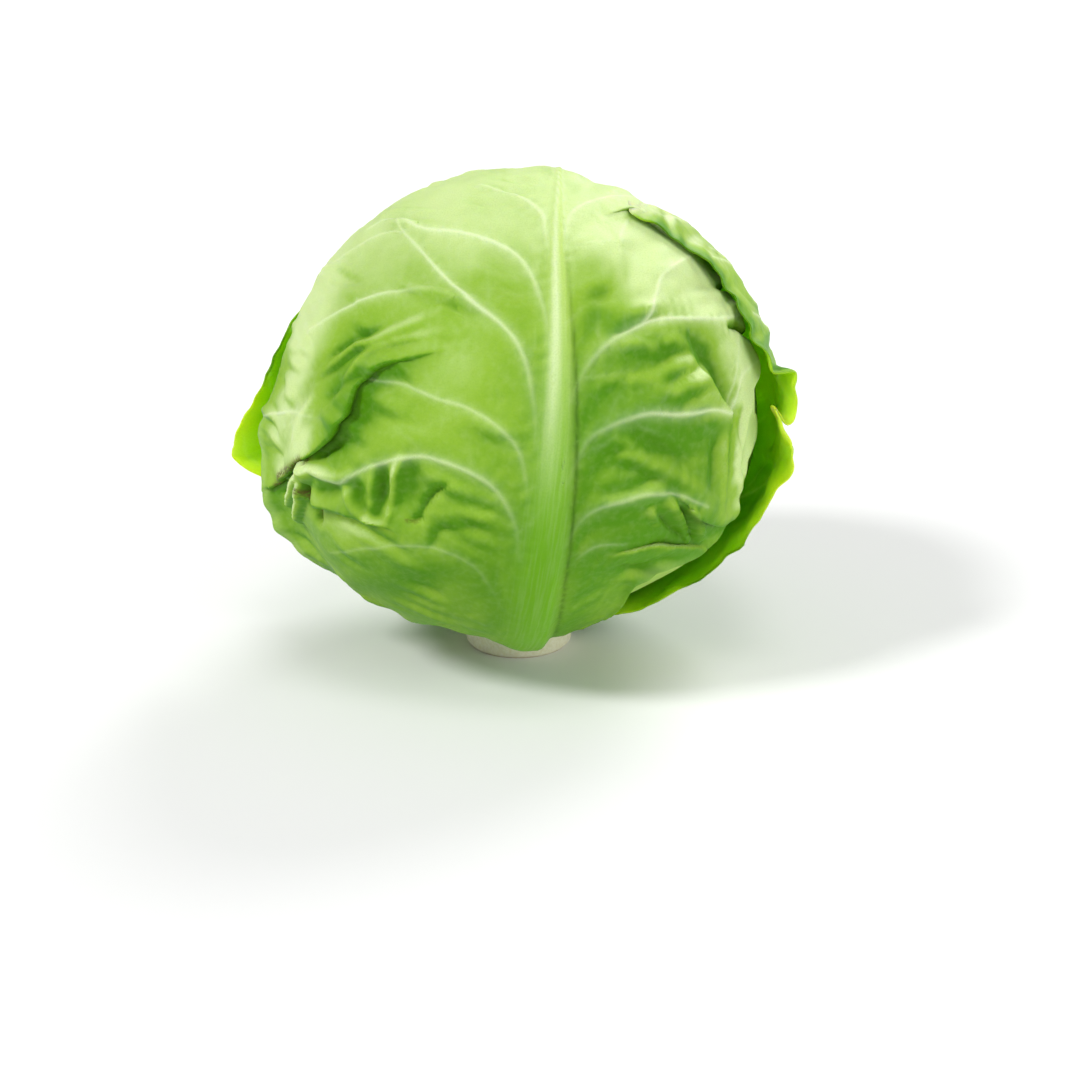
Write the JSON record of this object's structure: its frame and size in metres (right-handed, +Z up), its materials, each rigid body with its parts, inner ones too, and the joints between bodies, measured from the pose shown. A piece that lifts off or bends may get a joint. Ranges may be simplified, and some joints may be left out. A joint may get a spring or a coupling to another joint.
{
  "type": "cabbage head",
  "caption": "Round green cabbage head: ribbed leaves wrapped in layers round a tight heart and a stem, resting upright on its flat cut stump.",
  "frame": {"origin": "middle of the stump's flat cut, which is on the surface that the head stands on", "axes": "+Z up through the crown, -Y towards the best side with the broad midrib, +X to that side's right"},
  "size_m": [0.1996, 0.1837, 0.1722],
  "materials": {
    "leaf_front": "waxy satin leaf, pale veins",
    "leaf_wrapper": "waxy satin leaf, thin bright margins",
    "leaf_inner": "waxy satin pale leaf",
    "heart": "matt pale yellow-green leaf",
    "stem": "matt cream, fibrous cut"
  },
  "bodies": {
    "root": {"stem": "stem", "heart": "heart", "inner_leaf_front": "leaf_inner", "inner_leaf_back": "leaf_inner", "inner_leaf_left": "leaf_inner", "inner_leaf_right": "leaf_inner", "front_leaf": "leaf_front", "wrapper_leaf_left": "leaf_wrapper", "wrapper_leaf_right": "leaf_wrapper"}
  },
  "joints": []
}
